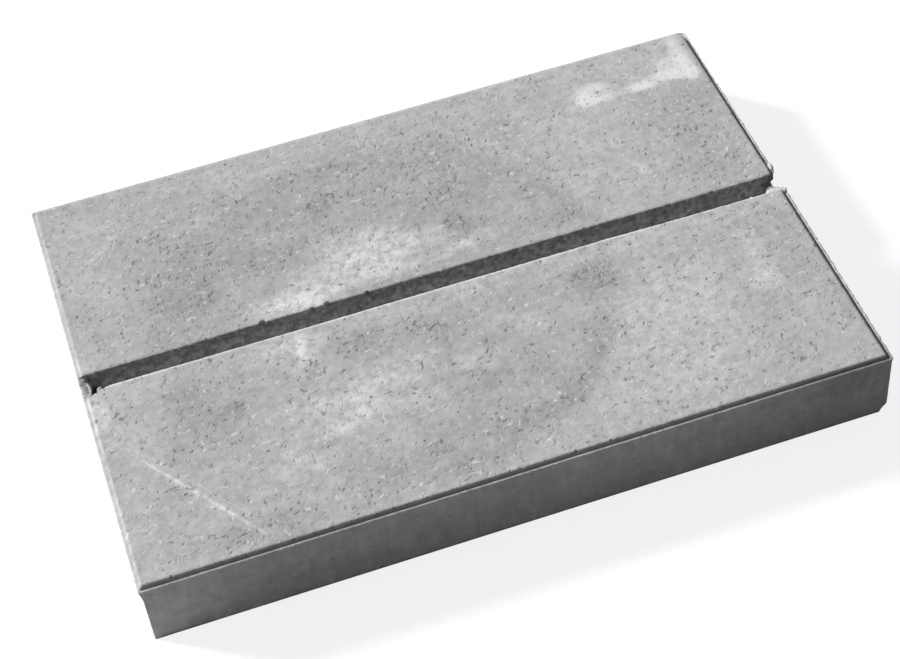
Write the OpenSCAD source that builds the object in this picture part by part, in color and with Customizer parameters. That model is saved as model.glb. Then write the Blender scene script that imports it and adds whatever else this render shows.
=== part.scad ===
// Concrete coping slab, pressed in one piece, with a splitting groove along its middle.
// Units are millimetres. The slab lies flat with its groove up: X runs along its length,
// Y across it and Z up. The origin is the middle of its underside.

/* [Slab] */
// Length over the side faces
slab_l = 500; // [300:10:1000]
// Width over the side faces
slab_w = 350; // [200:10:500]
// Thickness
slab_t = 54; // [40:1:100]

/* [Pressed top edge] */
// Radius of the rounded edge that the press head leaves round the top face
edge_r = 2.5; // [1:0.5:5]
// Mean width of the ledge between the press head and the mould's two end walls
end_ledge_w = 1.6; // [1.6:0.1:4]
// Mean width of the ledge between the press head and the mould's two long walls
long_ledge_w = 2.2; // [1.6:0.1:4]
// Distance that the press head stood off centre towards +X
head_dx = -1.2; // [-1.3:0.1:1.3]
// Distance that the press head stood off centre towards +Y
head_dy = -0.4; // [-1.3:0.1:1.3]

/* [Groove] */
// Width at the top face, between its sharp lips
groove_w = 14.5; // [13:0.5:30]
// Depth below the top face
groove_d = 18; // [14:1:24]
// Distance of its centre line from the slab's middle, towards +Y
groove_dy = 0.6; // [-3:0.1:3]
// Draft of its two long walls, in degrees
groove_draft = 9; // [3:1:10]
// Radius of its two lips
lip_r = 1.5; // [0.5:0.5:2]
// Radius between its walls and its floor
floor_r = 2; // [0.5:0.5:2.5]
// Slope of its two ends, in degrees from level
end_slope = 62; // [50:1:80]
// Mean thickness of the web that closes each end, at the ledge's height
web_w = 2.6; // [2.4:0.1:8]
// Distance of its length's middle from the slab's middle, towards +X
groove_dx = -0.5; // [-0.5:0.1:0.5]

/* [Broken end web] */
// Height of the stub that is left at the near wall of the +X end, above the groove's floor
stub_near_h = 16; // [8:1:17]
// Height that is left of it at the far wall, above the groove's floor
stub_far_h = 9; // [1:1:10]

/* [Hidden] */

// Flat strips that make up each rounded edge
arc_steps = 6;
// Length by which a cut runs past the face that it opens
over = 1;

// Half sizes of the press head, which is smaller than the mould by the ledge
head_x = slab_l / 2 - end_ledge_w;
head_y = slab_w / 2 - long_ledge_w;
// Half of the groove's length at the ledge's height
groove_x = slab_l / 2 - web_w;
// Height of the ledge
ledge_z = slab_t - edge_r;
// Height of the groove's floor
floor_z = slab_t - groove_d;
// Length that each end slope of the groove takes, from the ledge's height to the floor
end_run = (ledge_z - floor_z) / tan(end_slope);

// Points of an arc about [cx, cy], from angle a0 to angle a1
function arc(cx, cy, r, a0, a1) =
    [for (i = [0:arc_steps]) let (a = a0 + (a1 - a0) * i / arc_steps) [cx + r * cos(a), cy + r * sin(a)]];

// The same points on the other side of the upright line through zero, in reverse order
function mirrored(points) = [for (i = [len(points) - 1:-1:0]) [-points[i][0], points[i][1]]];

// Moves points sideways
function shifted(points, d) = [for (p = points) [p[0] + d, p[1]]];

// Outline of the slab cut across, from half the slab's size, half the head's size and the head's shift
function slab_outline(half, half_head, shift) =
    let (edge = arc(half_head - edge_r, ledge_z, edge_r, 0, 90))
    concat([[-half, 0], [half, 0], [half, ledge_z]], shifted(concat(edge, mirrored(edge)), shift),
        [[-half, ledge_z]]);

// Outline of the groove cut across its length, open above the top face
function groove_outline() =
    let (
        lip_y = groove_w / 2 + lip_r * (1 - sin(groove_draft)) / cos(groove_draft),
        foot_y = groove_w / 2 - (groove_d - floor_r) * tan(groove_draft) - floor_r / cos(groove_draft),
        lip = arc(lip_y, slab_t - lip_r, lip_r, 90, 180 - groove_draft),
        foot = arc(foot_y, floor_z + floor_r, floor_r, -groove_draft, -90),
        side = concat([[lip_y, slab_t + over]], lip, foot)
    )
    concat(side, mirrored(side));

// Extrudes an outline of [x, z] points along Y
module along_y(width) {
    translate([0, width / 2, 0]) rotate([90, 0, 0]) linear_extrude(width) children();
}

// Extrudes an outline of [y, z] points along X
module along_x(length) {
    translate([-length / 2, 0, 0]) rotate([90, 0, 90]) linear_extrude(length) children();
}

// The slab before its groove: each outline rounds the top along one pair of sides
module blank() {
    intersection() {
        along_x(slab_l + 2 * over) polygon(slab_outline(slab_w / 2, head_y, head_dy));
        along_y(slab_w + 2 * over) polygon(slab_outline(slab_l / 2, head_x, head_dx));
    }
}

// The rib of the press head that forms the groove, with a slope at each end. Above the ledge's
// height it runs to the head's edge, so that each web ends level with the ledge.
module groove_rib() {
    start = groove_dx - groove_x;
    end = groove_dx + groove_x;
    intersection() {
        translate([0, groove_dy, 0]) along_x(slab_l) polygon(groove_outline());
        along_y(groove_w * 3) polygon([
            [head_dx - head_x, slab_t + over * 2],
            [head_dx - head_x, ledge_z],
            [start, ledge_z],
            [start + end_run, floor_z],
            [start + end_run, floor_z - over],
            [end - end_run, floor_z - over],
            [end - end_run, floor_z],
            [end, ledge_z],
            [head_dx + head_x, ledge_z],
            [head_dx + head_x, slab_t + over * 2]
        ]);
    }
}

// What has broken out of the web at the +X end, down to a slanting stub
module broken_web() {
    length = web_w - groove_dx + end_run + over;
    translate([slab_l / 2 + over - length / 2, groove_dy, 0]) along_x(length) intersection() {
        polygon(groove_outline());
        polygon([
            [-groove_w, floor_z + stub_near_h + over],
            [-groove_w / 2, floor_z + stub_near_h],
            [groove_w / 2, floor_z + stub_far_h],
            [groove_w, floor_z + stub_far_h],
            [groove_w, slab_t + over * 2],
            [-groove_w, slab_t + over * 2]
        ]);
    }
}

module coping_slab() {
    color([0.7, 0.7, 0.7]) difference() {
        blank();
        groove_rib();
        broken_web();
    }
}

coping_slab();
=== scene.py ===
"""Pressed concrete coping slab with a splitting groove, lying flat on a plain floor.

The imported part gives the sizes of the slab, its pressed head and its groove. The finished slab is
built from them in metres, in the part's own frame: X along the slab, Y across it and Z up. Chips,
lumps, marks and the patterns of the relief and of the finish are placed in millimetres.
"""

import math

import bmesh
import bpy
from bpy.props import FloatProperty, FloatVectorProperty, IntProperty, PointerProperty
from mathutils import Euler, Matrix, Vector


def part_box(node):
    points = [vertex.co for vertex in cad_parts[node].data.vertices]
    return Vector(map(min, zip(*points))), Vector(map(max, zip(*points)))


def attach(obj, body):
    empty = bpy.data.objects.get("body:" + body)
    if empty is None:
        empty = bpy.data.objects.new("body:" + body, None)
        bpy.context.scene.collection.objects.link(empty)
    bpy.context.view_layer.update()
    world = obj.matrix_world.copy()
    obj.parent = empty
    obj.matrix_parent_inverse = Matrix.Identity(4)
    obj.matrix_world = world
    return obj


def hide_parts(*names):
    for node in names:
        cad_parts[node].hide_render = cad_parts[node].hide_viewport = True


bl_info = {
    "name": "Coping Slab",
    "version": (1, 0, 0),
    "blender": (4, 5, 0),
    "location": "View3D > Sidebar > Coping",
    "description": "Builds a pressed concrete coping slab and a plain stage for it",
    "category": "Object",
}

NODE = "coping_slab"
MM = 0.001
SAME = 0.01 * MM

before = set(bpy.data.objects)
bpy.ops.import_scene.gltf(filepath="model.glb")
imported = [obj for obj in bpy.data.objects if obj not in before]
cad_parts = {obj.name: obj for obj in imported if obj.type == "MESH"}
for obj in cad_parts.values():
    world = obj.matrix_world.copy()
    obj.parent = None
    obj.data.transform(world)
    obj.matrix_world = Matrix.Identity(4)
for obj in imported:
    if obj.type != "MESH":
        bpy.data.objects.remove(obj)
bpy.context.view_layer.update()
LOW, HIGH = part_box(NODE)


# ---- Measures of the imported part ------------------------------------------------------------


def cad_points():
    """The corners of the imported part's mesh."""
    return [vertex.co.copy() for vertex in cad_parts[NODE].data.vertices]


def ledge_height(points):
    """Height of the ledge that the press head left round the top face."""
    return max(point.z for point in points if point.x < LOW.x + SAME)


def head_limits(points, ledge_z, axis):
    """Lowest and highest place of the press head's edge along one axis."""
    places = sorted({round(point[axis], 6) for point in points if abs(point.z - ledge_z) < SAME})
    return places[1], places[-2]


def groove_floor(points):
    """The corners on the floor of the groove."""
    floor_z = min(point.z for point in points if point.z > LOW.z + SAME)
    return [point for point in points if point.z < floor_z + SAME and point.z > LOW.z + SAME]


def groove_section(points, middle_y, reach_y):
    """Heights of the groove's section with its half width at each, from the floor up."""
    section = {}
    for point in points:
        if point.z > LOW.z + SAME and abs(point.y - middle_y) < reach_y + SAME:
            section[round(point.z, 6)] = abs(point.y - middle_y)
    return sorted(section.items())


def groove_start(points, ledge_z, middle_y, reach_y):
    """Where the end slope of the groove at -X reaches the ledge's height."""
    inside = [point.x for point in points
              if abs(point.z - ledge_z) < SAME and abs(point.y - middle_y) < reach_y and point.x < 0]
    return max(inside)


def stub_heights(points, middle_y, reach_y):
    """Heights of the broken web's stub on the +X end face, at its near side and where it is lowest."""
    rim = [point for point in points
           if point.x > HIGH.x - SAME and abs(point.y - middle_y) < reach_y and point.z > LOW.z + SAME]
    rim.sort(key=lambda point: point.y)
    return rim[0].z, min(point.z for point in rim)


POINTS = cad_points()
LEDGE_Z = ledge_height(POINTS)
HEAD_X = head_limits(POINTS, LEDGE_Z, 0)
HEAD_Y = head_limits(POINTS, LEDGE_Z, 1)
FLOOR = groove_floor(POINTS)
FLOOR_Z = FLOOR[0].z
FLOOR_X = (min(point.x for point in FLOOR), max(point.x for point in FLOOR))
LIPS = sorted(point.y for point in POINTS if point.z > HIGH.z - SAME and abs(point.y) < 0.2 * HIGH.y)
GROOVE_Y = (LIPS[0] + LIPS[-1]) / 2
LIP_REACH = (LIPS[-1] - LIPS[0]) / 2
SECTION = groove_section(POINTS, GROOVE_Y, LIP_REACH)
GROOVE_START = groove_start(POINTS, LEDGE_Z, GROOVE_Y, LIP_REACH)
STUB_Z = stub_heights(POINTS, GROOVE_Y, LIP_REACH)
TOP_Z = HIGH.z


def groove_reach(height):
    """Half width of the groove at a height."""
    for (low_z, low_reach), (high_z, high_reach) in zip(SECTION, SECTION[1:]):
        if height <= high_z:
            return low_reach + (high_reach - low_reach) * (height - low_z) / (high_z - low_z)
    return SECTION[-1][1]


# ---- Settings -------------------------------------------------------------------------------


class CopingShape(bpy.types.PropertyGroup):
    """Sizes of the slab's own irregularities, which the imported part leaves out."""

    edge_round: FloatProperty(
        name="Edge rounding",
        description="Radius of the rounded rim of the top face",
        default=TOP_Z - LEDGE_Z,
        min=0.0005,
        max=0.005,
        unit="LENGTH",
    )
    relief: FloatProperty(
        name="Relief",
        description="How much of the pressed surface's unevenness is shaped",
        default=1.0,
        min=0.0,
        max=2.0,
        subtype="FACTOR",
    )
    triangles: IntProperty(
        name="Triangles",
        description="Most triangles that the finished slab may have",
        default=194000,
        min=20000,
        max=199000,
    )


class CopingFinish(bpy.types.PropertyGroup):
    """Colours of the pressed concrete."""

    paste: FloatVectorProperty(
        name="Cement paste",
        description="Main colour of the concrete",
        subtype="COLOR",
        default=(0.43, 0.43, 0.43),
        min=0.0,
        max=1.0,
    )
    stone: FloatVectorProperty(
        name="Bright grains",
        description="Colour of the pale grains of sand and stone",
        subtype="COLOR",
        default=(0.68, 0.68, 0.68),
        min=0.0,
        max=1.0,
    )
    # Painted shade at the bottom of the pores and pits.
    pore_shade: FloatVectorProperty(
        name="Pores",
        description="Colour at the bottom of the pores",
        subtype="COLOR",
        default=(0.16, 0.16, 0.16),
        min=0.0,
        max=1.0,
    )
    bloom: FloatVectorProperty(
        name="Lime bloom",
        description="Colour of the lime that has come to the surface",
        subtype="COLOR",
        default=(0.74, 0.74, 0.74),
        min=0.0,
        max=1.0,
    )


class CopingStage(bpy.types.PropertyGroup):
    """Floor, light and camera."""

    lamp_strength: FloatProperty(
        name="Lamp strength",
        description="Strength of the soft lamp",
        default=5.8,
        min=0.0,
    )
    lamp_width: FloatProperty(
        name="Lamp width",
        description="How wide the lamp looks from the slab",
        default=math.radians(14.0),
        subtype="ANGLE",
    )
    lamp_height: FloatProperty(
        name="Lamp height",
        description="Angle of the lamp above the floor",
        default=math.radians(27.0),
        subtype="ANGLE",
    )
    lamp_turn: FloatProperty(
        name="Lamp turn",
        description="Direction of the lamp about the slab, from +X towards +Y",
        default=math.radians(142.0),
        subtype="ANGLE",
    )
    sky: FloatProperty(
        name="Sky light",
        description="Level of the even light from all round",
        default=0.19,
        min=0.0,
        max=1.0,
    )
    floor_shade: FloatProperty(
        name="Floor shade",
        description="How pale the floor is where it lights the slab",
        default=0.45,
        min=0.0,
        max=1.0,
    )


def settings():
    """The scene's own copy of all settings."""
    scene = bpy.context.scene
    return scene.coping_shape, scene.coping_finish, scene.coping_stage


# ---- Modelling by hand ----------------------------------------------------------------------


def deselect_all():
    """Leaves nothing selected in object mode."""
    bpy.ops.object.select_all(action="DESELECT")


def make_active(piece):
    """Selects one object alone and makes it the one that operators act on."""
    deselect_all()
    piece.select_set(True)
    bpy.context.view_layer.objects.active = piece


def add_block(name, low, high):
    """Adds a box between two corners, with its place in its mesh."""
    deselect_all()
    middle = [(a + b) / 2 for a, b in zip(low, high)]
    size = [b - a for a, b in zip(low, high)]
    bpy.ops.mesh.primitive_cube_add(size=1, location=middle, scale=size)
    bpy.ops.object.transform_apply(location=True, rotation=True, scale=True)
    bpy.context.object.name = name
    return bpy.context.object


def add_pebble(name, middle, radii, turn=0.0):
    """Adds a squashed ball at a place, turned about the vertical."""
    deselect_all()
    bpy.ops.mesh.primitive_ico_sphere_add(
        subdivisions=3, radius=1, location=middle, rotation=(0, 0, turn), scale=radii
    )
    bpy.ops.object.transform_apply(location=True, rotation=True, scale=True)
    bpy.context.object.name = name
    return bpy.context.object


def pick(piece, kind, test):
    """In edit mode, selects only the vertices, edges or faces that pass a test."""
    bpy.ops.mesh.select_mode(type=kind)
    bpy.ops.mesh.select_all(action="DESELECT")
    mesh = bmesh.from_edit_mesh(piece.data)
    elements = {"VERT": mesh.verts, "EDGE": mesh.edges, "FACE": mesh.faces}[kind]
    for element in elements:
        if test(element):
            element.select_set(True)
    mesh.select_flush_mode()
    bmesh.update_edit_mesh(piece.data)


def bevel_edges(piece, test, radius, segments):
    """Rounds the edges that pass a test."""
    make_active(piece)
    bpy.ops.object.mode_set(mode="EDIT")
    pick(piece, "EDGE", test)
    bpy.ops.mesh.bevel(offset=radius, segments=segments, affect="EDGES")
    bpy.ops.object.mode_set(mode="OBJECT")


def upright_at(x, y):
    """A test for the upright edge at one corner of a block."""
    corner = Vector((x, y))
    return lambda edge: all((vertex.co.xy - corner).length < SAME for vertex in edge.verts)


def level_at(z):
    """A test for the edges that lie at one height."""
    return lambda edge: all(abs(vertex.co.z - z) < SAME for vertex in edge.verts)


def apply_modifier(piece, kind, **values):
    """Gives a piece one modifier and applies it."""
    make_active(piece)
    modifier = piece.modifiers.new("step", kind)
    for name, value in values.items():
        setattr(modifier, name, value)
    bpy.ops.object.modifier_apply(modifier=modifier.name)


def combine(piece, other, operation):
    """Joins another solid to a piece, or cuts it away, and deletes that solid."""
    apply_modifier(piece, "BOOLEAN", object=other, operation=operation, solver="EXACT")
    bpy.data.objects.remove(other)


# ---- The slab's shape -----------------------------------------------------------------------


def cast_body():
    """The part of the slab that the mould walls shaped, up to the ledge."""
    body = add_block("slab", LOW, (HIGH.x, HIGH.y, LEDGE_Z))
    bevel_edges(body, upright_at(HIGH.x, HIGH.y), 6 * MM, 6)
    for x, y in ((LOW.x, LOW.y), (LOW.x, HIGH.y), (HIGH.x, LOW.y)):
        bevel_edges(body, upright_at(x, y), 1.2 * MM, 2)
    return body


def pressed_head(edge_round):
    """The part of the slab that the press head shaped. Its rounded rim is narrower at both ends.

    The block is rounded while it is stretched along X, and brought back to its length after that.
    """
    stretch = 1.25
    ends = (stretch * HEAD_X[0], stretch * HEAD_X[1])
    head = add_block("head", (ends[0], HEAD_Y[0], FLOOR_Z), (ends[1], HEAD_Y[1], TOP_Z))
    bevel_edges(head, upright_at(ends[1], HEAD_Y[1]), 9 * MM, 8)
    bevel_edges(head, upright_at(ends[0], HEAD_Y[1]), 3.5 * MM, 4)
    bevel_edges(head, level_at(TOP_Z), 0.96 * edge_round, 5)
    bpy.ops.object.mode_set(mode="EDIT")
    bpy.ops.mesh.select_all(action="SELECT")
    bpy.ops.transform.resize(value=(1 / stretch, 1, 1), center_override=(0, 0, 0))
    bpy.ops.object.mode_set(mode="OBJECT")
    return head


def groove_rib():
    """The rib of the press head that formed the groove, raised step by step from its floor.

    Above the ledge's height it runs out past both ends, over the webs.
    """
    middle = ((FLOOR_X[0] + FLOOR_X[1]) / 2, GROOVE_Y)
    floor_length = (FLOOR_X[1] - FLOOR_X[0]) / 2
    run = FLOOR_X[0] - GROOVE_START
    full_length = HIGH.x - LOW.x

    steps = []
    for z, half_width in SECTION:
        if z < LEDGE_Z + SAME:
            steps.append((z, floor_length + run * (z - FLOOR_Z) / (LEDGE_Z - FLOOR_Z), half_width))
        if abs(z - LEDGE_Z) < SAME:
            steps.append((z + 2 * SAME, full_length, half_width))
        if z > LEDGE_Z + SAME:
            steps.append((z, full_length, half_width))
    steps.append((TOP_Z + 3 * MM, full_length, steps[-1][2]))
    z, length, width = steps[0]
    low = (middle[0] - length, middle[1] - width, z)
    high = (middle[0] + length, middle[1] + width, steps[1][0])
    rib = add_block("rib", low, high)
    bpy.ops.object.mode_set(mode="EDIT")
    for (z, length, width), (next_z, next_length, next_width) in zip(steps, steps[1:]):
        pick(rib, "FACE", lambda face: face.normal.z > 0.5)
        if z > steps[0][0]:
            bpy.ops.mesh.extrude_region_move(TRANSFORM_OT_translate={"value": (0, 0, next_z - z)})
        bpy.ops.transform.resize(
            value=(next_length / length, next_width / width, 1), center_override=(*middle, next_z)
        )
    bpy.ops.object.mode_set(mode="OBJECT")
    return rib


def broken_web():
    """What broke out of the web at the +X end of the groove, down to a rough slanting stub."""
    near_z, far_z = STUB_Z
    half_width = groove_reach(near_z)
    low = (FLOOR_X[1] - 2 * MM, GROOVE_Y - half_width, near_z)
    high = (HIGH.x + 3 * MM, GROOVE_Y + half_width, TOP_Z + 3 * MM)
    web = add_block("web", low, high)
    bpy.ops.object.mode_set(mode="EDIT")
    pick(web, "EDGE", lambda edge: all(v.co.z < near_z + SAME and v.co.y > GROOVE_Y for v in edge.verts))
    bpy.ops.transform.translate(value=(0, 0, far_z - near_z))
    bpy.ops.mesh.select_all(action="SELECT")
    bpy.ops.mesh.subdivide(number_cuts=15)
    bpy.ops.object.mode_set(mode="OBJECT")
    roughen(web, 4 * MM, 1.6 * MM)
    return web


def end_stub():
    """What is left of the web at the +X end. It is thicker at the near lip than at the far wall."""
    near_y = LIPS[0] + 2.5 * MM
    far_y = GROOVE_Y + groove_reach(STUB_Z[1])
    low = (FLOOR_X[1] - 2.5 * MM, near_y, FLOOR_Z - 1 * MM)
    high = (HIGH.x, far_y, TOP_Z - 0.15 * MM)
    thinner_at_far_wall = 8 * MM
    reach_into_lip = 3.5 * MM
    spread_in_lip = 3 * MM
    stub = add_block("stub", low, high)
    bpy.ops.object.mode_set(mode="EDIT")
    pick(stub, "VERT", lambda vertex: vertex.co.z > high[2] - SAME and vertex.co.y > far_y - SAME)
    bpy.ops.transform.translate(value=(0, 0, STUB_Z[1] - high[2]))
    pick(stub, "VERT", lambda vertex: vertex.co.x < low[0] + SAME and vertex.co.y > far_y - SAME)
    bpy.ops.transform.translate(value=(thinner_at_far_wall, 0, 0))
    pick(stub, "FACE", lambda face: face.normal.y < -0.9)
    bpy.ops.mesh.extrude_region_move(TRANSFORM_OT_translate={"value": (0, -reach_into_lip, 0)})
    pick(stub, "VERT", lambda vertex: vertex.co.x < low[0] + SAME and vertex.co.y < near_y - SAME)
    bpy.ops.transform.translate(value=(-spread_in_lip, 0, 0))
    bpy.ops.object.mode_set(mode="OBJECT")
    bevel_edges(stub, lambda edge: all(v.co.z > FLOOR_Z and v.co.x < HIGH.x - SAME for v in edge.verts),
                1.5 * MM, 3)
    return stub


def roughen(piece, size, depth):
    """Gives a cutter a broken face."""
    texture = bpy.data.textures.new("broken", "CLOUDS")
    texture.noise_scale = size
    texture.noise_depth = 2
    apply_modifier(piece, "DISPLACE", texture=texture, strength=depth, mid_level=0.5)


def left_web():
    """The web left at the -X end of the groove: its top slopes inwards and its inner side is steep."""
    inner_x = GROOVE_START + 2.4 * MM
    slope = 1.1 * MM
    half_width = groove_reach(LEDGE_Z)
    low = (LOW.x + 0.2 * MM, GROOVE_Y - half_width, FLOOR_Z + 1 * MM)
    high = (inner_x, GROOVE_Y + half_width, LEDGE_Z + 0.3 * MM)
    web = add_block("web", low, high)
    bpy.ops.object.mode_set(mode="EDIT")
    pick(web, "VERT", lambda vertex: vertex.co.z > high[2] - SAME and vertex.co.x > inner_x - SAME)
    bpy.ops.transform.translate(value=(0, 0, -slope))
    bpy.ops.object.mode_set(mode="OBJECT")
    return web


# Places, radii in millimetres and turn in degrees of what has been knocked off the slab
CHIPS = (
    # Hollow behind the web at the -X end of the groove
    (-243.0, 1.0, 42.0, 2.6, 5.5, 5.5, 0),
    # What broke out of the end face at the +X end of the groove
    (253.9, -0.5, 46.0, 9.6, 12.0, 9.6, 0),
    (245.4, 0.0, 50.4, 1.3, 1.5, 1.2, 0),
    (247.4, -4.4, 52.9, 1.9, 1.2, 1.0, 0),
    (252.0, -5.6, 54.2, 3.2, 3.6, 2.6, 0),
    (254.0, 8.5, 44.0, 8.6, 12.0, 8.4, 0),
    (252.4, 6.6, 51.5, 5.2, 4.2, 4.6, 0),
    # Bottom corner of the near face, at its +X end
    (253.0, -178.0, -2.0, 9.0, 9.0, 10.0, 0),
    # Nicks along the near rim
    (-200.0, -173.8, 52.4, 1.6, 1.0, 1.2, 0),
    (-98.0, -173.6, 52.6, 2.2, 1.0, 1.2, 0),
    # Nicks along the groove's far lip
    (-123.4, 8.0, 53.6, 2.4, 1.6, 1.6, 0),
    (-89.0, 7.4, 53.2, 2.0, 1.4, 1.8, 0),
    (-78.0, 7.8, 53.4, 2.2, 1.6, 1.8, 0),
    (-49.6, 7.6, 53.4, 1.6, 1.2, 1.4, 0),
)

# Places, radii in millimetres and turn in degrees of the small lumps of paste that stuck to it
LUMPS = (
    # Bead along the inner edge of the web at the -X end of the groove, and a crumb beside it
    (-245.9, 1.2, 50.6, 0.9, 1.4, 0.9, 25),
    (-245.4, -1.0, 50.6, 0.9, 1.6, 1.0, 0),
    (-246.0, -3.4, 50.6, 0.9, 1.6, 1.0, -25),
    (-247.2, -5.4, 50.8, 1.0, 1.6, 0.9, -35),
    (-239.3, -4.4, 50.0, 2.1, 2.4, 1.0, 0),
    # Paste on the far end of the same web
    (-247.6, 6.6, 51.0, 1.8, 2.0, 1.4, 0),
    # Crumb under the near lip, near the +X end of the groove
    (224.5, -7.0, 52.6, 2.0, 1.2, 1.0, 15),
    # Burr beside the far corner at the +X end of the groove
    (249.2, 15.0, 51.8, 1.7, 3.4, 1.8, 0),
    # Paste that fills the ledge beside the stub at the +X end of the groove
    (247.4, -9.6, 51.3, 3.0, 2.4, 2.4, 0),
)


def add_pebbles(name, rows):
    """Adds one squashed ball for each row of places, radii and turns."""
    made = []
    for x, y, z, length, width, height, turn in rows:
        radii = (length * MM, width * MM, height * MM)
        made.append(add_pebble(name, (x * MM, y * MM, z * MM), radii, math.radians(turn)))
    return made


def shape_slab(shape):
    """Builds the slab's solid from body, head, groove and breakages, and its fine relief."""
    slab = cast_body()
    combine(slab, pressed_head(shape.edge_round), "UNION")
    combine(slab, groove_rib(), "DIFFERENCE")
    combine(slab, broken_web(), "DIFFERENCE")
    combine(slab, left_web(), "UNION")
    combine(slab, end_stub(), "UNION")
    for chip in add_pebbles("chip", CHIPS):
        combine(slab, chip, "DIFFERENCE")
    for lump in add_pebbles("lump", LUMPS):
        combine(slab, lump, "UNION")
    fineness = 9
    apply_modifier(slab, "REMESH", mode="SHARP", octree_depth=fineness, scale=0.97, sharpness=1,
                   use_remove_disconnected=False)
    apply_modifier(slab, "NODES", node_group=relief_tree(shape.relief))
    thin_out(slab, shape.triangles)
    apply_modifier(slab, "NODES", node_group=marks_tree())
    make_active(slab)
    bpy.ops.object.shade_smooth()
    apply_modifier(slab, "WEIGHTED_NORMAL", mode="FACE_AREA", weight=50)
    return slab


def thin_out(slab, triangles):
    """Merges the flat parts of the mesh, and keeps the fine cells along rims, lips and breakages."""
    fine = slab.vertex_groups.new(name="fine")
    kept = []
    for vertex in slab.data.vertices:
        if near_edge(vertex.co):
            kept.append(vertex.index)
    fine.add(kept, 1.0, "REPLACE")
    ratio = triangles / (2 * len(slab.data.polygons))
    apply_modifier(slab, "DECIMATE", ratio=min(1, ratio), use_collapse_triangulate=True,
                   vertex_group="fine", invert_vertex_group=True)
    slab.vertex_groups.clear()


def near_edge(place):
    """Whether a place is in the bands where the shape turns sharply."""
    if place.z < LEDGE_Z - 1.5 * MM:
        return abs(place.x) > FLOOR_X[1] and abs(place.y - GROOVE_Y) < LIP_REACH
    rim = min(place.x - HEAD_X[0], HEAD_X[1] - place.x, place.y - HEAD_Y[0], HEAD_Y[1] - place.y)
    lip = abs(abs(place.y - GROOVE_Y) - LIP_REACH)
    return rim < 3.2 * MM or lip < 1.6 * MM


# ---- Node trees -----------------------------------------------------------------------------


class Graph:
    """Adds nodes to a shader or geometry tree. An input is a socket, a number, a vector or None."""

    def __init__(self, tree):
        self.tree = tree

    def node(self, kind, inputs=(), **values):
        """Adds a node with its settings, and fills its inputs by name or place."""
        node = self.tree.nodes.new(kind)
        for name, value in values.items():
            setattr(node, name, value)
        pairs = inputs.items() if isinstance(inputs, dict) else enumerate(inputs)
        for name, value in pairs:
            if isinstance(value, bpy.types.NodeSocket):
                self.tree.links.new(value, node.inputs[name])
            elif value is not None:
                node.inputs[name].default_value = value
        return node

    def math(self, operation, *values):
        """A number worked out from others."""
        return self.node("ShaderNodeMath", values, operation=operation).outputs[0]

    def add(self, *values):
        """The sum of two or more numbers."""
        total = values[0]
        for value in values[1:]:
            total = self.math("ADD", total, value)
        return total

    def times(self, *values):
        """The product of two or more numbers."""
        total = values[0]
        for value in values[1:]:
            total = self.math("MULTIPLY", total, value)
        return total

    def highest(self, *values):
        """The greatest of two or more numbers."""
        total = values[0]
        for value in values[1:]:
            total = self.math("MAXIMUM", total, value)
        return total

    def without(self, value):
        """One minus a number."""
        return self.math("SUBTRACT", 1.0, value)

    def vector(self, operation, *values):
        """A vector worked out from others."""
        node = self.node("ShaderNodeVectorMath", operation=operation)
        sockets = [s for s in node.inputs if s.enabled]
        for socket, value in zip(sockets, values):
            if isinstance(value, bpy.types.NodeSocket):
                self.tree.links.new(value, socket)
            else:
                socket.default_value = value
        return next(s for s in node.outputs if s.enabled)

    def split(self, vector):
        """The X, Y and Z of a vector."""
        return self.node("ShaderNodeSeparateXYZ", [vector]).outputs

    def scale(self, vector, level):
        """A vector or colour times a number."""
        node = self.node("ShaderNodeVectorMath", [vector], operation="SCALE")
        if isinstance(level, bpy.types.NodeSocket):
            self.tree.links.new(level, node.inputs["Scale"])
        else:
            node.inputs["Scale"].default_value = level
        return node.outputs[0]

    def group(self, tree, inputs):
        """The outputs of a group with its inputs filled."""
        kind = self.tree.bl_idname.replace("Tree", "Group")
        return self.node(kind, inputs, node_tree=tree).outputs

    def ramp(self, value, low, high, start=0.0, end=1.0):
        """Goes smoothly from start to end as a value goes from low to high."""
        inputs = {"Value": value, "From Min": low, "From Max": high, "To Min": start, "To Max": end}
        return self.node("ShaderNodeMapRange", inputs, interpolation_type="SMOOTHSTEP").outputs[0]

    def over(self, size):
        """One over a size, which is a number or a socket."""
        if isinstance(size, bpy.types.NodeSocket):
            return self.math("DIVIDE", 1.0, size)
        return 1.0 / size

    def noise(self, place, size, detail=2.0, roughness=0.5, shift=0.0, output=0):
        """Cloudy noise from 0 to 1, with features of a size."""
        moved = self.vector("ADD", place, (shift, shift * 0.37, shift * 0.73))
        inputs = {"Vector": moved, "Scale": self.over(size), "Detail": detail, "Roughness": roughness}
        return self.node("ShaderNodeTexNoise", inputs).outputs[output]

    def cells(self, place, size, shift=0.0):
        """Distance to the nearest of many scattered points in units of length, and its own chances."""
        moved = self.vector("ADD", place, (shift, shift * 0.61, shift * 0.29))
        inputs = {"Vector": moved, "Scale": self.over(size), "Randomness": 1.0}
        node = self.node("ShaderNodeTexVoronoi", inputs)
        distance = self.times(node.outputs["Distance"], size)
        return distance, self.split(node.outputs["Color"])


def scattered(graph, place, size, radius, rarity, shift=0.0):
    """Scattered round spots as a mask: 1 in the middle of a spot, 0 beyond its own radius.

    The higher the rarity, the fewer spots come near the full radius.
    """
    distance, chances = graph.cells(place, size, shift)
    reach = graph.times(graph.math("POWER", chances[0], rarity), radius)
    return graph.ramp(graph.math("SUBTRACT", reach, distance), 0.0, 0.6 * radius)


def flatten(graph, place):
    """A place without its height."""
    return graph.vector("MULTIPLY", place, (1, 1, 0))


def groove_line(graph, y):
    """Mask of the strip of the slab that the groove takes up."""
    off_line = graph.math("ABSOLUTE", graph.math("SUBTRACT", y, GROOVE_Y / MM))
    return graph.ramp(off_line, LIP_REACH / MM + 0.2, LIP_REACH / MM - 0.8)


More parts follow.
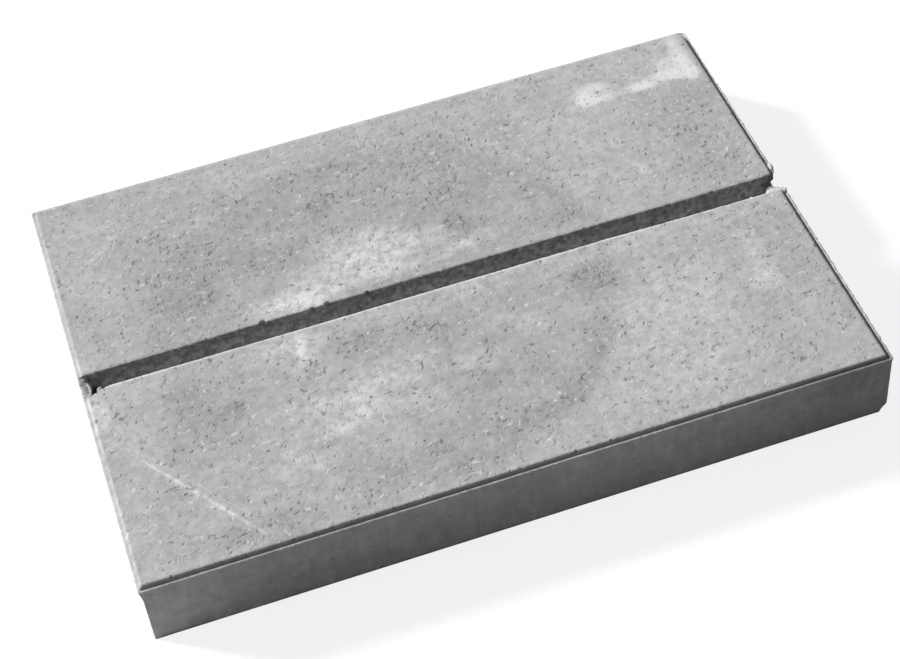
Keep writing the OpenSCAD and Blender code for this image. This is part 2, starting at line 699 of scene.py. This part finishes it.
def beyond_head(graph, x, y):
    """How far a place lies outside the press head's outline. It is negative inside it."""
    left = graph.math("SUBTRACT", HEAD_X[0] / MM, x)
    right = graph.math("SUBTRACT", x, HEAD_X[1] / MM)
    near = graph.math("SUBTRACT", HEAD_Y[0] / MM, y)
    far = graph.math("SUBTRACT", y, HEAD_Y[1] / MM)
    return graph.highest(left, right, near, far)


def surface_masks(graph, place):
    """Masks of the pressed top, the groove, the broken end and all but the underside."""
    x, y, z = graph.split(place)
    top = graph.ramp(z, LEDGE_Z / MM + 0.6, TOP_Z / MM - 0.3)
    in_line = groove_line(graph, y)
    below = graph.ramp(z, TOP_Z / MM + 0.1, TOP_Z / MM - 1.0)
    off_end_face = graph.ramp(graph.math("ABSOLUTE", x), HIGH.x / MM - 0.3, HIGH.x / MM - 1.2)
    between_ends = graph.highest(off_end_face, graph.ramp(z, LEDGE_Z / MM - 3.0, LEDGE_Z / MM - 1.2))
    groove = graph.times(in_line, below, between_ends, graph.ramp(z, FLOOR_Z / MM - 3, FLOOR_Z / MM - 2))
    past_end = graph.ramp(x, FLOOR_X[1] / MM - 1, FLOOR_X[1] / MM + 3)
    broken = graph.times(in_line, past_end, graph.ramp(z, FLOOR_Z / MM - 5, FLOOR_Z / MM + 1))
    above_floor = graph.ramp(z, 0.2, 2.5)
    return top, groove, broken, above_floor


def swing(graph, place, size, detail, shift, amount):
    """Noise that swings evenly about zero by an amount."""
    level = graph.math("SUBTRACT", graph.noise(place, size, detail, shift=shift), 0.5)
    return graph.times(level, 2 * amount)


def flash(graph, place):
    """How paste that squeezed past the press head raises the ledge and pushes it out, as a vector."""
    x, y, z = graph.split(place)
    ledge = LEDGE_Z / MM
    high = graph.ramp(z, ledge - 2.4, ledge - 0.2)
    tall = graph.ramp(z, ledge - 11, ledge - 0.5)
    right = graph.ramp(x, HEAD_X[1] / MM + 0.9, HEAD_X[1] / MM + 2.3)
    left = graph.ramp(x, HEAD_X[0] / MM + 0.2, HEAD_X[0] / MM - 0.3)
    near = graph.ramp(y, HEAD_Y[0] / MM - 0.3, HEAD_Y[0] / MM - 1.1)
    far = graph.ramp(y, HEAD_Y[1] / MM + 0.4, HEAD_Y[1] / MM + 1.3)
    crumbs = graph.noise(place, 5.0, 3.0, 0.6, shift=17)
    ragged = graph.math("SUBTRACT", graph.noise(place, 4.0, 3.0, 0.6, shift=27), 0.5)
    raised = graph.highest(
        graph.times(right, graph.add(graph.times(crumbs, 2.0), 0.2)),
        graph.times(near, graph.add(graph.times(crumbs, 0.4), 0.2)),
        graph.times(left, crumbs, 0.3),
    )
    raised = graph.times(raised, high, graph.without(groove_line(graph, y)))
    right_push = graph.add(graph.times(ragged, 1.8), graph.ramp(y, -60, 170, 0.0, -0.7))
    left_push = graph.add(graph.times(ragged, -0.8), -1.6)
    out_x = graph.add(graph.times(right, high, right_push), graph.times(left, tall, left_push))
    near_push = graph.add(graph.times(ragged, -0.5), -0.8)
    out_y = graph.add(graph.times(near, high, near_push), graph.times(far, high, -0.3))
    return graph.node("ShaderNodeCombineXYZ", [out_x, out_y, raised]).outputs[0]


def lip_shift(graph, place):
    """How far the groove's walls and worn lips stand towards the near side, as a vector."""
    x, y, z = graph.split(place)
    end = graph.ramp(graph.math("ABSOLUTE", x), 130, 190)
    far = graph.times(groove_line(graph, y), graph.ramp(y, GROOVE_Y / MM - 1, GROOVE_Y / MM + 1), end)
    worn = graph.times(
        graph.add(graph.ramp(x, 120, 185, 0.0, -1.2), graph.ramp(x, -232, -247, 0.0, -4.6)),
        graph.ramp(y, LIPS[0] / MM - 5, LIPS[0] / MM + 0.5),
        graph.ramp(y, GROOVE_Y / MM, GROOVE_Y / MM - 2),
        graph.ramp(z, TOP_Z / MM - 5, TOP_Z / MM - 2),
    )
    shift = graph.add(
        graph.times(groove_line(graph, y), -0.45),
        graph.times(far, -0.4),
        worn,
    )
    shift = graph.times(shift, graph.ramp(z, FLOOR_Z / MM - 2, FLOOR_Z / MM))
    return graph.node("ShaderNodeCombineXYZ", [0.0, shift, 0.0]).outputs[0]


def relief_tree(amount):
    """Geometry nodes that move the surface by the relief of pressed concrete."""
    graph, entry = slab_tree("pressed_relief")
    place = graph.scale(graph.node("GeometryNodeInputPosition").outputs[0], 1000)
    _, groove, broken, above_floor = surface_masks(graph, place)
    wave = swing(graph, place, 110.0, 1.0, 0, 0.4)
    texture = swing(graph, place, 4.5, 2.0, 40, 0.14)
    pits = graph.times(scattered(graph, place, 11.0, 2.0, 2.5, shift=7), -0.5)
    wall = graph.times(swing(graph, place, 3.8, 2.0, 90, 0.6), groove)
    rubble = graph.times(swing(graph, place, 3.5, 3.0, 60, 0.6), broken)
    height = graph.times(graph.add(wave, texture, pits, wall, rubble), above_floor)
    offset = graph.scale(graph.node("GeometryNodeInputNormal").outputs[0], height)
    pushed = graph.vector("ADD", flash(graph, place), lip_shift(graph, place))
    whole = graph.scale(graph.vector("ADD", offset, pushed), amount * MM)
    moved = graph.node("GeometryNodeSetPosition", {"Geometry": entry, "Offset": whole})
    graph.node("NodeGroupOutput", [moved.outputs[0]])
    return graph.tree


def slab_tree(name):
    """A new geometry tree that takes the slab and gives it back: its graph and the slab."""
    tree = bpy.data.node_groups.new(name, "GeometryNodeTree")
    tree.interface.new_socket("Slab", in_out="INPUT", socket_type="NodeSocketGeometry")
    tree.interface.new_socket("Slab", in_out="OUTPUT", socket_type="NodeSocketGeometry")
    graph = Graph(tree)
    return graph, graph.node("NodeGroupInput").outputs[0]


def marks_tree():
    """Geometry nodes that store where the surface is bloomed, damp and porous."""
    graph, slab = slab_tree("surface_marks")
    place = graph.scale(graph.node("GeometryNodeInputPosition").outputs[0], 1000)
    flat = flatten(graph, place)
    top, groove, _, _ = surface_masks(graph, place)
    bend = graph.vector("SUBTRACT", graph.noise(flat, 20.0, 2.0, shift=5, output="Color"), (0.5, 0.5, 0.5))
    bent = graph.vector("ADD", flat, graph.vector("MULTIPLY", bend, (16.0, 16.0, 0.0)))
    group = patch_group("GeometryNodeTree")
    bloom = graph.times(patches(graph, bent, BLOOM, 0.6, group), top)
    damp = graph.times(patches(graph, bent, DAMP, 0.4, group), top)
    clusters = graph.math("SUBTRACT", graph.noise(place, 15.0, 2.0, shift=71), 0.5)
    porous = graph.add(
        graph.times(clusters, 2.2),
        graph.times(damp, 1.2),
        graph.ramp(top, 0, 1, -0.6, 0.0),
        graph.times(groove, 0.9),
    )
    for name, value in (("bloom", bloom), ("damp", damp), ("porous", porous)):
        inputs = {"Geometry": slab, "Name": name, "Value": value}
        slab = graph.node("GeometryNodeStoreNamedAttribute", inputs, data_type="FLOAT").outputs[0]
    graph.node("NodeGroupOutput", [slab])
    return graph.tree


# ---- Node groups of the finish --------------------------------------------------------------


def new_group(kind, name, inputs, outputs):
    """A new group with named inputs, each with its usual value: its graph and its inputs."""
    tree = bpy.data.node_groups.new(name, kind)
    for label, value in inputs.items():
        socket = "NodeSocketVector" if isinstance(value, tuple) else "NodeSocketFloat"
        tree.interface.new_socket(label, in_out="INPUT", socket_type=socket).default_value = value
    for label in outputs:
        tree.interface.new_socket(label, in_out="OUTPUT", socket_type="NodeSocketFloat")
    graph = Graph(tree)
    return graph, graph.node("NodeGroupInput").outputs


def patch_group(kind):
    """A round patch with a soft edge, stretched over its half sizes: 1 inside and 0 outside."""
    inputs = {"Place": (0.0, 0.0, 0.0), "Middle": (0.0, 0.0, 0.0), "Half size": (10.0, 10.0, 1.0),
              "Inner edge": 0.5, "Outer edge": 1.5}
    graph, given = new_group(kind, "soft_patch", inputs, ["Mask"])
    across = graph.vector("SUBTRACT", given["Place"], given["Middle"])
    reach = graph.vector("LENGTH", graph.vector("DIVIDE", across, given["Half size"]))
    graph.node("NodeGroupOutput", [graph.ramp(reach, given["Outer edge"], given["Inner edge"])])
    return graph.tree


def pores_group():
    """Small ragged pores. The higher the amount, the more and the wider they are."""
    inputs = {"Place": (0.0, 0.0, 0.0), "Size": 4.4, "Amount": 0.0}
    graph, given = new_group("ShaderNodeTree", "ragged_pores", inputs, ["Mask"])
    level = graph.noise(given["Place"], given["Size"], 2.0, 0.6, shift=23)
    level = graph.math("MULTIPLY_ADD", given["Amount"], -0.09, level)
    graph.node("NodeGroupOutput", [graph.ramp(level, 0.46, 0.2)])
    return graph.tree


def specks_group():
    """Scattered deep pits and pale grains."""
    inputs = {"Place": (0.0, 0.0, 0.0), "Size": 3.6, "Pit limit": 0.29, "Grain limit": 0.68}
    graph, given = new_group("ShaderNodeTree", "pits_and_grains", inputs, ["Pits", "Grains"])
    level = graph.noise(given["Place"], given["Size"], 0.0, shift=33)
    pits = graph.ramp(level, given["Pit limit"], graph.add(given["Pit limit"], -0.14))
    grains = graph.ramp(level, given["Grain limit"], graph.add(given["Grain limit"], 0.18))
    graph.node("NodeGroupOutput", [pits, grains])
    return graph.tree


# ---- Marks on the top face ------------------------------------------------------------------

# Middles and half sizes in millimetres, turns in degrees and strengths of the soft lime bloom
BLOOM = (
    # On the far side of the groove
    (-98, 19, 27, 12, 0, 0.5), (-88, 16, 14, 8, 0, 0.3), (-113, 22, 9, 7, 0, 0.25),
    (-85, 38, 18, 8, 0, 0.2), (-35, 40, 28, 20, 0, 0.32), (-30, 36, 15, 9, 0, 0.25),
    (-28, 58, 18, 10, 0, 0.25), (2, 42, 14, 9, 0, 0.3), (-60, 43, 16, 12, 0, 0.3),
    (-62, 24, 18, 7, 0, 0.3), (-22, 21, 26, 6, 0, 0.3), (20, 23, 13, 6, 5, 0.35),
    (40, 30, 18, 6, 15, 0.2), (-55, 65, 24, 10, 20, 0.12),
    # On the near side of the groove
    (-104.5, -27, 4.2, 15, -18, 0.55), (-112, -22, 24, 15, 0, 0.22), (0, -17, 300, 10, 0, 0.12),
    (15, -13, 14, 6, 0, 0.12), (-90, -80, 60, 36, 0, 0.14), (-100, -76, 19, 6, 0, 0.25),
    (-78, -77, 13, 14, 0, 0.25), (-86, -93, 18, 7, 10, 0.22), (-58, -70, 20, 6, -8, 0.2),
    (-102, -101, 10, 6, 0, 0.2), (-45, -94, 13, 6, 0, 0.15), (-130, -75, 12, 6, 0, 0.15),
    (-137, -115, 13, 13, 0, 0.22), (-115, -121, 9, 8, 0, 0.22), (-118, -135, 6, 10, 20, 0.15),
    (-40, -60, 22, 6, 0, 0.15), (0, -78, 15, 7, 0, 0.17), (42, -58, 18, 7, -30, 0.17),
    # Towards the -X end
    (-246, -28, 7, 26, 0, 0.4), (-247, 14, 6, 8, 0, 0.25), (-232, -55, 10, 22, 0, 0.1),
    (-226, 90, 14, 22, 0, 0.1), (-236, -140, 16, 40, 0, 0.06),
    # Towards the +X end
    (145, 90, 42, 45, 0, 0.1), (132, -108, 42, 55, 0, 0.17), (150, -70, 40, 26, 0, 0.1),
    (85, -147, 26, 14, 0, 0.12), (110, 160, 70, 10, 0, 0.06), (164, 48, 4, 6, 30, 0.3),
    (170, 36, 5, 7, 0, 0.25), (202, -80, 9, 11, 0, 0.28), (203, -60, 5, 9, 0, 0.2),
    (208, -42, 5, 8, 10, 0.2), (180, 158, 30, 10, 0, 0.1),
)

# The same for the thick white deposit in the far corner at the +X end
DEPOSIT = (
    (155, 128, 8, 6, -20, 0.7), (162, 133, 17, 10, 0, 0.6), (160, 141, 15, 6, 0, 0.35),
    (172, 125, 11, 4, 0, 0.35), (194, 127, 11, 5, 0, 0.6), (213, 130, 24, 6.5, 3, 0.6),
    (233, 128, 9, 7, 0, 0.6), (236, 142, 6.5, 25, 0, 0.75), (224, 138, 14, 9, 30, 0.5),
    (221, 148, 10, 9, 45, 0.3), (221, 163, 6, 4, 40, 0.3), (234, 165, 8, 5, 0, 0.3),
)

# The same for the places that are darker, from damp or from a finer skin: first a large round stain
DAMP_DISC = ((-42, -8, 160, 152, 0, 0.24),)
DAMP = (
    (-40, 96, 145, 46, 0, 0.17), (-172, 85, 28, 55, 0, 0.2), (-185, 30, 40, 24, 0, 0.15),
    (-153, 48, 10, 14, 0, 0.35), (27, 50, 9, 9, 0, 0.5), (38, 40, 16, 7, -15, 0.35),
    (32, 92, 10, 20, 0, 0.15), (-58, 97, 9, 11, 0, 0.2), (-120, 129, 7, 7, 0, 0.3),
    (-110, 62, 12, 8, 0, 0.25), (-82, 67, 9, 8, 0, 0.3), (-60, 131, 80, 6, 0, 0.12),
    (60, 130, 120, 5, -2, 0.1), (104, 54, 10, 14, 20, 0.3), (82, 57, 12, 10, 0, 0.2),
    (95, 24, 20, 10, 0, 0.2), (97, -39, 17, 12, 0, 0.45), (83, -85, 14, 18, -15, 0.28),
    (75, -105, 9, 9, 0, 0.25), (58, -122, 15, 10, 30, 0.38), (30, -136, 24, 9, 15, 0.4),
    (0, -138, 12, 14, 0, 0.25), (0, -98, 14, 9, 0, 0.3), (12, -65, 8, 6, 0, 0.35),
    (-104, -45, 8, 7, 0, 0.45), (-163, -60, 9, 7, 0, 0.4), (-206, -83, 8, 7, 0, 0.3),
    (-112, -107, 8, 6, 0, 0.3), (-210, -111, 8, 7, 0, 0.3), (-20, -44, 16, 9, 0, 0.3),
    (-68, -28, 18, 8, 0, 0.3), (-40, -35, 40, 9, 0, 0.15), (-188, -40, 16, 18, 0, 0.25),
    (-180, -75, 24, 24, 0, 0.17), (-80, -146, 10, 9, 0, 0.35), (-48, -140, 12, 10, 0, 0.25),
    (-25, -158, 18, 10, 0, 0.25), (-150, -156, 18, 10, 0, 0.25), (-185, -158, 14, 8, 0, 0.25),
    (230, 25, 12, 16, 0, 0.3), (222, 62, 20, 34, 0, 0.2), (204, 50, 16, 34, 0, 0.15),
    (218, 100, 34, 26, 0, 0.17), (212, -30, 14, 18, 0, 0.22), (236, -80, 12, 50, 0, 0.15),
    (185, -120, 40, 30, 0, 0.08), (-90, -160, 120, 10, 0, 0.12),
)

# The same for the long thin scratches
SCRATCHES = (
    (-197, -119, 50, 1.3, -54.8, 0.5), (-194, -114, 40, 0.8, -54, 0.15),
    (-200, -115, 56, 5, -54.8, 0.1), (-235, -47, 32, 1.2, -72, 0.15), (-212, 116, 20, 2.0, 40, 0.15),
    (50, 136, 20, 2.4, -42, 0.12), (78, 108, 16, 2.4, -55, 0.12), (100, 92, 10, 2, -30, 0.08),
)

# The same for single pale grains
GRAINS = (
    (-14, 99, 1.3, 1.3, 0, 0.6), (79, 78, 1.6, 1.3, 0, 0.6), (-120, 122, 1.5, 1.3, 0, 0.6),
    (-161, 110, 1.3, 1.3, 0, 0.5), (-241, 143, 1.2, 1.2, 0, 0.5), (-96, 84, 1.3, 1.0, 0, 0.5),
    (21, -157, 1.8, 1.5, 0, 0.7), (-29, -157, 1.5, 1.3, 0, 0.6), (190, -105, 1.2, 1.2, 0, 0.5),
    (-60, -28, 1.3, 1.2, 0, 0.6), (46, -44, 1.5, 1.3, 0, 0.7), (230, -145, 1.5, 1.3, 0, 0.5),
    (-92, -110, 1.3, 1.2, 0, 0.5), (-193, -130, 1.3, 1.2, 0, 0.5),
)


# ---- The finish -----------------------------------------------------------------------------


def patches(graph, place, rows, blur, group):
    """The sum of all patches of a table at a place."""
    total = 0.0
    for x, y, half_x, half_y, turn, strength in rows:
        spot = place
        if turn:
            back = {"Vector": place, "Center": (x, y, 0), "Angle": math.radians(-turn)}
            spot = graph.node("ShaderNodeVectorRotate", back, rotation_type="Z_AXIS").outputs[0]
        inputs = {"Place": spot, "Middle": (x, y, 0), "Half size": (half_x, half_y, 1),
                  "Inner edge": 1 - blur, "Outer edge": 1 + blur}
        mask = graph.group(group, inputs)[0]
        total = graph.math("MULTIPLY_ADD", mask, strength, total)
    return total


def stored(graph, name):
    """A mark that the mesh holds."""
    return graph.node("ShaderNodeAttribute", attribute_name=name).outputs["Fac"]


def mixed(graph, factor, first, second):
    """The first colour where the factor is 0, and the second where it is 1."""
    inputs = {"Factor": factor, 6: first, 7: second}
    return graph.node("ShaderNodeMix", inputs, data_type="RGBA").outputs[2]


def ragged_place(graph, place, mottling):
    """A place on the top that wanders with the mottling, for marks with ragged outlines."""
    swerve = graph.math("SUBTRACT", mottling, 0.5)
    return graph.vector("ADD", flatten(graph, place), graph.scale((7.0, 5.0, 0.0), swerve))


def pale_marks_and_highlight(graph, place, top, mottling, patch):
    """Mask of soft bloom, thick deposit, scratches and the painted highlight on the near lip of the groove.
    """
    _, y, z = graph.split(place)
    swerve = graph.math("SUBTRACT", mottling, 0.5)
    deposit = patches(graph, ragged_place(graph, place, mottling), DEPOSIT, 0.5, patch)
    deposit = graph.ramp(graph.add(deposit, graph.times(swerve, 0.6)), 0.0, 1.2, 0.0, 0.95)
    scratched = patches(graph, flatten(graph, place), SCRATCHES, 0.6, patch)
    soft = graph.add(stored(graph, "bloom"), graph.times(scratched, top))
    soft = graph.times(soft, graph.ramp(mottling, 0.3, 0.7, 0.3, 1.7))
    # Painted highlight: the near lip of the groove, which faces the lamp, is lightened towards the bloom's
    # colour.
    lip = graph.times(
        graph.ramp(y, LIPS[0] / MM - 2.2, LIPS[0] / MM - 0.8),
        graph.ramp(y, GROOVE_Y / MM, GROOVE_Y / MM - 1),
        graph.ramp(z, TOP_Z / MM - 3.0, TOP_Z / MM - 1.5),
        graph.ramp(mottling, 0.2, 0.55, 0.3, 0.6),
    )
    return graph.highest(graph.math("MINIMUM", soft, 1.0), graph.times(deposit, top), lip)


def groove_tone_and_shade(graph, place, mottling, fine, patch):
    """How light the groove's paste is: blotchy and darker towards the lips, with painted shade that darkens
    the hollow behind the -X web almost to black.
    """
    z = graph.split(place)[2]
    by_depth = graph.ramp(z, TOP_Z / MM - 12, TOP_Z / MM - 4, 0.98, 0.58)
    # Painted shade: the hollow behind the web at the -X end, where no light reaches, is darkened almost to
    # black.
    corner = {"Place": place, "Middle": (-242.9, 5.5, 38.4), "Half size": (3.6, 5.0, 3.4)}
    corner_shade = graph.group(patch, corner)[0]
    blotches = graph.add(
        graph.times(graph.math("SUBTRACT", fine, 0.5), 1.5),
        graph.times(graph.math("SUBTRACT", mottling, 0.5), 0.4),
        1.02,
    )
    return graph.times(by_depth, graph.math("MULTIPLY_ADD", corner_shade, -0.9, 1.0), blotches)


def side_tones(graph, place):
    """How light the sides' paste is: streaky. In front, painted light lightens the left end and painted
    shade darkens the right end, with a darker patch higher up near it.
    """
    x, y, z = graph.split(place)
    stretched = graph.node("ShaderNodeCombineXYZ", [x, y, graph.times(z, 0.12)]).outputs[0]
    streaks = graph.math("SUBTRACT", graph.noise(stretched, 5.0, 1.0, shift=43), 0.5)
    near = graph.ramp(y, LOW.y / MM + 30, LOW.y / MM + 5)
    # Painted light: the near face's -X end is lightened as if lit from the floor beside it, most towards
    # the bottom.
    painted_light_end = graph.times(graph.ramp(x, -160, -246), graph.ramp(z, 50, 5, 0.12, 0.34))
    # Painted shade: the near face darkens towards its +X end.
    painted_shade_end = graph.times(graph.ramp(x, 110, 195), -0.15)
    dark_corner = graph.times(graph.ramp(x, 180, 212), graph.ramp(z, 22, 42), -0.2)
    ends = graph.times(graph.add(painted_light_end, painted_shade_end, dark_corner), near)
    return graph.add(graph.times(streaks, 0.3), ends, 1.0)


def rim_crease_shade(graph, place):
    """Mask of the painted shade in the crease between the rounded rim and the ledge."""
    x, y, z = graph.split(place)
    gap = beyond_head(graph, x, y)
    low = graph.ramp(z, LEDGE_Z / MM - 1, LEDGE_Z / MM)
    return graph.times(graph.ramp(gap, -1.4, -0.4), graph.ramp(gap, 1.3, 0.6), low)


def paste_tone(graph, place, masks, mottling, fine, patch):
    """How light the grey paste is all over the slab, as a product of effects of all sizes, with painted
    light and shade among them.
    """
    top, groove, broken = masks
    disc = patches(graph, ragged_place(graph, place, mottling), DAMP_DISC, 0.04, patch)
    damp = graph.add(graph.times(disc, top), stored(graph, "damp"))
    # The groove's tone, with painted shade in the hollow behind the -X web.
    in_groove = groove_tone_and_shade(graph, place, mottling, fine, patch)
    return graph.times(
        graph.math("MULTIPLY_ADD", graph.noise(place, 22.0, 2.0, 0.7, shift=3), 0.45, 0.8),
        graph.math("MULTIPLY_ADD", mottling, 0.55, 0.73),
        graph.math("MULTIPLY_ADD", fine, 0.22, 0.89),
        graph.math("MULTIPLY_ADD", damp, -0.3, 1.0),
        graph.add(graph.times(groove, in_groove), graph.without(groove)),
        graph.math("MULTIPLY_ADD", broken, -0.3, 1.0),
        # Sides: painted light at the near face's -X end and painted shade towards its +X end.
        graph.add(top, graph.times(graph.without(top), side_tones(graph, place))),
        # Painted shade in the crease at the foot of the rounded rim.
        graph.math("MULTIPLY_ADD", rim_crease_shade(graph, place), -0.25, 1.0),
    )


def hollows_and_grains(graph, place, masks, patch):
    """Masks of the pores and pits, of the scattered grains and of the grains placed one by one."""
    top, groove, _ = masks
    porous = stored(graph, "porous")
    pores = graph.group(pores_group(), {"Place": place, "Amount": porous})[0]
    limits = {"Pit limit": graph.math("MULTIPLY_ADD", porous, 0.16, 0.275),
              "Grain limit": graph.math("MULTIPLY_ADD", porous, -0.08, 0.69)}
    pits, scattered_grains = graph.group(specks_group(), {"Place": place, **limits})[:2]
    above_ledge = graph.ramp(graph.split(place)[2], LEDGE_Z / MM - 1, LEDGE_Z / MM + 1, 0.3, 1.0)
    scattered_grains = graph.times(scattered_grains, graph.highest(above_ledge, groove))
    single_grains = graph.times(patches(graph, flatten(graph, place), GRAINS, 0.5, patch), top)
    hollows = graph.highest(graph.times(pores, 0.5), graph.times(pits, 0.62))
    return hollows, scattered_grains, single_grains


def pressed_concrete(finish):
    """The finish of the whole slab: grey paste with pores, pale grains, damp and lime bloom."""
    material = bpy.data.materials.new("pressed_concrete")
    material.use_nodes = True
    graph = Graph(material.node_tree)
    shader = material.node_tree.nodes["Principled BSDF"]
    shader.inputs["Specular IOR Level"].default_value = 0.25
    place = graph.scale(graph.node("ShaderNodeTexCoord").outputs["Object"], 1000)
    masks = surface_masks(graph, place)[:3]
    patch = patch_group("ShaderNodeTree")
    mottling = graph.noise(place, 7.5, 4.0, 0.65, shift=19)
    fine = graph.noise(place, 3.8, 1.0, 0.5, shift=53)
    sand = graph.noise(place, 1.3, 1.0, 0.6, shift=63)

    tone = paste_tone(graph, place, masks, mottling, fine, patch)
    pale = pale_marks_and_highlight(graph, place, masks[0], mottling, patch)
    hollows, scattered_grains, single_grains = hollows_and_grains(graph, place, masks, patch)
    bright = graph.highest(graph.times(scattered_grains, 0.5), single_grains)
    colour = mixed(graph, pale, graph.scale(finish.paste, tone), (*finish.bloom, 1))
    # Painted shade in the pores and pits.
    colour = mixed(graph, hollows, colour, (*finish.pore_shade, 1))
    colour = mixed(graph, bright, colour, (*finish.stone, 1))
    height = graph.add(
        graph.times(fine, 0.16),
        graph.times(sand, 0.08),
        graph.times(hollows, -0.4),
        graph.times(scattered_grains, 0.12),
    )
    bump = graph.node("ShaderNodeBump", {"Height": height, "Strength": 1.0, "Distance": MM})
    graph.tree.links.new(colour, shader.inputs["Base Color"])
    graph.tree.links.new(bump.outputs[0], shader.inputs["Normal"])
    graph.tree.links.new(graph.ramp(mottling, 0.2, 0.8, 0.95, 0.8), shader.inputs["Roughness"])
    return material


# ---- Operators ------------------------------------------------------------------------------


class COPING_OT_slab(bpy.types.Operator):
    """Build the slab with its finished surface"""

    bl_idname = "coping.slab"
    bl_label = "Build slab"
    bl_options = {"REGISTER", "UNDO"}

    def execute(self, context):
        shape, finish, _ = settings()
        slab = shape_slab(shape)
        slab.data.materials.clear()
        slab.data.materials.append(pressed_concrete(finish))
        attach(slab, "root")
        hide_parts(NODE)
        return {"FINISHED"}


def add_floor(stage):
    """A plain pale floor that shows white round the slab and keeps its shadow."""
    deselect_all()
    bpy.ops.mesh.primitive_plane_add(size=12, location=(0, 0, LOW.z))
    floor = bpy.context.object
    floor.name = "floor"
    material = bpy.data.materials.new("plain_floor")
    material.use_nodes = True
    nodes, links = material.node_tree.nodes, material.node_tree.links
    nodes.clear()
    graph = Graph(material.node_tree)
    shade = (*[stage.floor_shade] * 3, 1)
    matt = graph.node("ShaderNodeBsdfDiffuse", {"Color": shade})
    ray = graph.node("ShaderNodeLightPath")
    seen = graph.highest(ray.outputs["Is Camera Ray"], ray.outputs["Is Glossy Ray"])
    glow = graph.node("ShaderNodeEmission", {"Color": (1, 1, 1, 1)})
    links.new(graph.times(seen, 0.8), glow.inputs["Strength"])
    both = graph.node("ShaderNodeAddShader", [matt.outputs[0], glow.outputs[0]])
    graph.node("ShaderNodeOutputMaterial", {"Surface": both.outputs[0]})
    floor.data.materials.append(material)


def add_sky(stage):
    """Even light from all round, which shows white behind the slab."""
    world = bpy.data.worlds.new("sky")
    bpy.context.scene.world = world
    world.use_nodes = True
    world.node_tree.nodes.clear()
    graph = Graph(world.node_tree)
    ray = graph.node("ShaderNodeLightPath").outputs
    seen = graph.highest(ray["Is Camera Ray"], ray["Is Glossy Ray"], ray["Is Transmission Ray"])
    level = graph.node("ShaderNodeMapRange", {"Value": seen, "To Min": stage.sky, "To Max": 1.0})
    light = graph.node("ShaderNodeBackground", {"Color": (1, 1, 1, 1), "Strength": level.outputs[0]})
    graph.node("ShaderNodeOutputWorld", {"Surface": light.outputs[0]})


def add_lamp(stage):
    """One soft lamp, low and far beyond the slab's far left corner."""
    turn, height = stage.lamp_turn, stage.lamp_height
    level = Vector((math.cos(turn), math.sin(turn), 0))
    towards = level * math.cos(height) + Vector((0, 0, math.sin(height)))
    bpy.ops.object.light_add(type="SUN", location=4.0 * towards)
    lamp = bpy.context.object
    lamp.name = "soft_lamp"
    lamp.data.energy = stage.lamp_strength
    lamp.data.angle = stage.lamp_width
    lamp.rotation_euler = towards.to_track_quat("Z", "Y").to_euler()


def add_camera():
    """A camera that looks down on the slab from the near left, rolled a little."""
    turn, height, roll = math.radians(-13.623), math.radians(48.31), math.radians(-6.317)
    distance = 1.3958
    back = Vector((math.sin(turn) * math.cos(height), -math.cos(turn) * math.cos(height), math.sin(height)))
    target = Vector((-8.3 * MM, -45.6 * MM, TOP_Z))
    bpy.ops.object.camera_add(location=target + distance * back)
    camera = bpy.context.object
    camera.name = "camera"
    camera.rotation_euler = (back.to_track_quat("Z", "Y") @ Euler((0, 0, roll)).to_quaternion()).to_euler()
    camera.data.lens = 84.13
    camera.data.sensor_width = 36.0
    bpy.context.scene.camera = camera


class COPING_OT_stage(bpy.types.Operator):
    """Set the floor, the sky, the soft lamp and the camera"""

    bl_idname = "coping.stage"
    bl_label = "Set stage"
    bl_options = {"REGISTER", "UNDO"}

    def execute(self, context):
        _, _, stage = settings()
        add_floor(stage)
        add_sky(stage)
        add_lamp(stage)
        add_camera()
        context.scene.view_settings.view_transform = "Standard"
        return {"FINISHED"}


class COPING_PT_panel(bpy.types.Panel):
    """The coping slab's settings and operators"""

    bl_idname = "COPING_PT_panel"
    bl_label = "Coping slab"
    bl_space_type = "VIEW_3D"
    bl_region_type = "UI"
    bl_category = "Coping"

    def draw(self, context):
        for group, operator in zip(settings(), ("coping.slab", None, "coping.stage")):
            box = self.layout.box()
            for name in group.__annotations__:
                box.prop(group, name)
            if operator:
                box.operator(operator)


CLASSES = (CopingShape, CopingFinish, CopingStage, COPING_OT_slab, COPING_OT_stage, COPING_PT_panel)


def register():
    """Adds the classes and gives the scene its settings."""
    for cls in CLASSES:
        bpy.utils.register_class(cls)
    bpy.types.Scene.coping_shape = PointerProperty(type=CopingShape)
    bpy.types.Scene.coping_finish = PointerProperty(type=CopingFinish)
    bpy.types.Scene.coping_stage = PointerProperty(type=CopingStage)


def unregister():
    """Takes the settings and classes away again."""
    del bpy.types.Scene.coping_stage
    del bpy.types.Scene.coping_finish
    del bpy.types.Scene.coping_shape
    for cls in reversed(CLASSES):
        bpy.utils.unregister_class(cls)


def main():
    """Builds the slab and its stage."""
    register()
    bpy.ops.coping.slab()
    bpy.ops.coping.stage()


if __name__ == "__main__":
    main()
